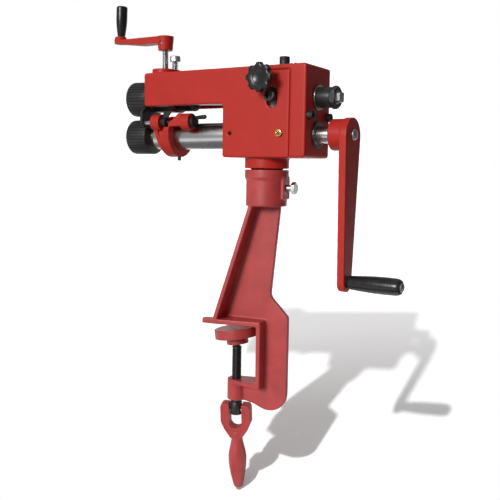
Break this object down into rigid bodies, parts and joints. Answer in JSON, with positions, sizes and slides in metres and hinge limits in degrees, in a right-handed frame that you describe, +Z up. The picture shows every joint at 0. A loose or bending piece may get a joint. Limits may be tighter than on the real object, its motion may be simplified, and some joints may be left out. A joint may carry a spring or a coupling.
{
  "type": "bead roller",
  "caption": "Bench clamped hand cranked bead roller with geared rollers on a swivelling head, a pressure screw and an edge guide.",
  "frame": {"origin": "on the clamp screw's axis, at the underside of the bench plate", "axes": "+Z up; +X along the shafts from the rollers to the main crank; +Y away from the operator's side"},
  "size_m": [0.5441, 0.1243, 0.8235],
  "materials": {
    "red_paint": "satin red enamel on castings",
    "black_oxide": "blackened steel",
    "black_plastic": "moulded black plastic",
    "zinc": "bright zinc plated steel",
    "bright_steel": "ground steel",
    "bronze": "bearing bronze and brass"
  },
  "bodies": {
    "foot": {"clamp_frame": "red_paint"},
    "lock": {"swivel_lock_screw": "zinc"},
    "ball": {"swivel_ball": "bright_steel"},
    "screw": {"clamp_screw": "black_oxide", "handle_pin": "bright_steel"},
    "handle": {"clamp_handle": "red_paint"},
    "pad": {"clamp_pad": "red_paint", "pad_snap_ring": "bright_steel"},
    "head": {"head_housing": "red_paint", "rear_cover": "red_paint", "cover_bolts": "black_oxide", "tongue_bolt": "zinc", "oil_plug": "black_oxide", "lower_tube": "bright_steel", "tube_lock_screw": "black_oxide", "lower_front_bush": "bronze", "lower_cover_bush": "bright_steel", "grease_nipple": "bronze", "lift_spring": "bright_steel"},
    "knob": {"star_knob": "black_plastic", "knob_stud": "zinc"},
    "lower_line": {"lower_shaft": "bright_steel", "lower_roller": "black_oxide", "lower_roller_screw": "black_oxide", "lower_gear": "bright_steel", "lower_gear_key": "bright_steel", "crank_arm": "red_paint", "crank_bolt": "zinc", "grip_spindle": "bright_steel"},
    "grip": {"crank_grip": "black_plastic"},
    "arbor": {"upper_sleeve": "bright_steel", "upper_front_bush": "bronze", "bearing_block": "bright_steel", "upper_rear_bush": "bronze", "pivot_bolts": "black_oxide", "lift_bolt": "zinc"},
    "upper_line": {"upper_shaft": "bright_steel", "upper_roller": "black_oxide", "upper_roller_screw": "black_oxide", "upper_gear": "bright_steel", "upper_gear_key": "bright_steel", "shaft_collar": "black_oxide", "collar_screw": "black_oxide", "flange_washer": "bright_steel", "rear_spacer": "black_oxide", "shaft_nut": "black_oxide"},
    "press_foot": {"pressure_foot": "bright_steel"},
    "press_screw": {"pressure_screw": "bright_steel", "top_crank_arm": "red_paint", "top_crank_screw": "bright_steel", "top_grip_spindle": "bright_steel"},
    "top_grip": {"top_crank_grip": "black_plastic"},
    "guide": {"guide_bracket": "red_paint", "bracket_set_screw": "black_oxide"},
    "guide_slider": {"guide_rod": "black_oxide", "fence_plate": "black_oxide", "fence_nut": "bright_steel", "stop_collar": "black_oxide"},
    "lever": {"guide_lever": "black_plastic"}
  },
  "joints": [
    {"name": "head_swivel", "type": "hinge", "parent": "foot", "child": "head", "pos_m": [0.04833, 0.00508, 0.249], "axis": [0, 0, 1], "continuous": true},
    {"name": "lock_turn", "type": "hinge", "parent": "foot", "child": "lock", "pos_m": [0.04833, 0.00508, 0.221], "axis": [0.9945, 0.1045, 0], "continuous": true},
    {"name": "clamp_travel", "type": "slide", "parent": "foot", "child": "ball", "axis": [0, 0, 1], "range_m": [-0.055, 0.003]},
    {"name": "clamp_turn", "type": "hinge", "parent": "ball", "child": "screw", "pos_m": [0, 0, -0.08], "axis": [0, 0, 1], "range_deg": [-9901, 541]},
    {"name": "handle_swing", "type": "hinge", "parent": "screw", "child": "handle", "pos_m": [0, 0, -0.1495], "axis": [0.9511, 0.309, 0], "range_deg": [-69, 51]},
    {"name": "pad_tilt", "type": "hinge", "parent": "ball", "child": "pad", "pos_m": [0, 0, -0.0255], "axis": [-0.1045, 0.9945, 0], "range_deg": [-1, 17]},
    {"name": "knob_turn", "type": "hinge", "parent": "head", "child": "knob", "pos_m": [0.07083, -0.05492, 0.384], "axis": [0, -1, 0], "continuous": true},
    {"name": "crank_turn", "type": "hinge", "parent": "head", "child": "lower_line", "pos_m": [0.04833, 0.00508, 0.3024], "axis": [1, 0, 0], "continuous": true},
    {"name": "grip_spin", "type": "hinge", "parent": "lower_line", "child": "grip", "pos_m": [0.23833, -0.00065, 0.08347], "axis": [1, 0, 0], "continuous": true},
    {"name": "upper_tilt", "type": "hinge", "parent": "head", "child": "arbor", "pos_m": [0.07833, 0.00508, 0.3595], "axis": [0, 1, 0], "range_deg": [-1.1, 0], "deforming": ["lift_spring"]},
    {"name": "upper_spin", "type": "hinge", "parent": "arbor", "child": "upper_line", "pos_m": [0.07833, 0.00508, 0.3595], "axis": [0.9997, 0, -0.0256], "continuous": true},
    {"name": "foot_travel", "type": "slide", "parent": "head", "child": "press_foot", "axis": [0, 0, 1], "range_m": [-0.00444, 0]},
    {"name": "pressure_turn", "type": "hinge", "parent": "press_foot", "child": "press_screw", "pos_m": [-0.15297, 0.00508, 0.405], "axis": [0, 0, -1], "range_deg": [0, 1065]},
    {"name": "top_grip_spin", "type": "hinge", "parent": "press_screw", "child": "top_grip", "pos_m": [-0.24997, 0.00508, 0.4775], "axis": [0.0349, 0, 0.9994], "continuous": true},
    {"name": "guide_slide", "type": "slide", "parent": "head", "child": "guide", "axis": [1, 0, 0], "range_m": [0, 0.03]},
    {"name": "rod_slide", "type": "slide", "parent": "guide", "child": "guide_slider", "axis": [1, 0, 0], "range_m": [0, 0.0045]},
    {"name": "lever_turn", "type": "hinge", "parent": "guide_slider", "child": "lever", "pos_m": [-0.07017, -0.02792, 0.3245], "axis": [1, 0, 0], "range_deg": [-90, 90]}
  ],
  "couplings": [
    {"joint": "upper_spin", "follows": "crank_turn", "ratio": -1},
    {"joint": "clamp_turn", "follows": "clamp_travel", "rad_per_m": 3141.6},
    {"joint": "foot_travel", "follows": "pressure_turn", "m_per_rad": -0.00023873},
    {"joint": "upper_tilt", "follows": "pressure_turn", "ratio": -0.0010329}
  ]
}
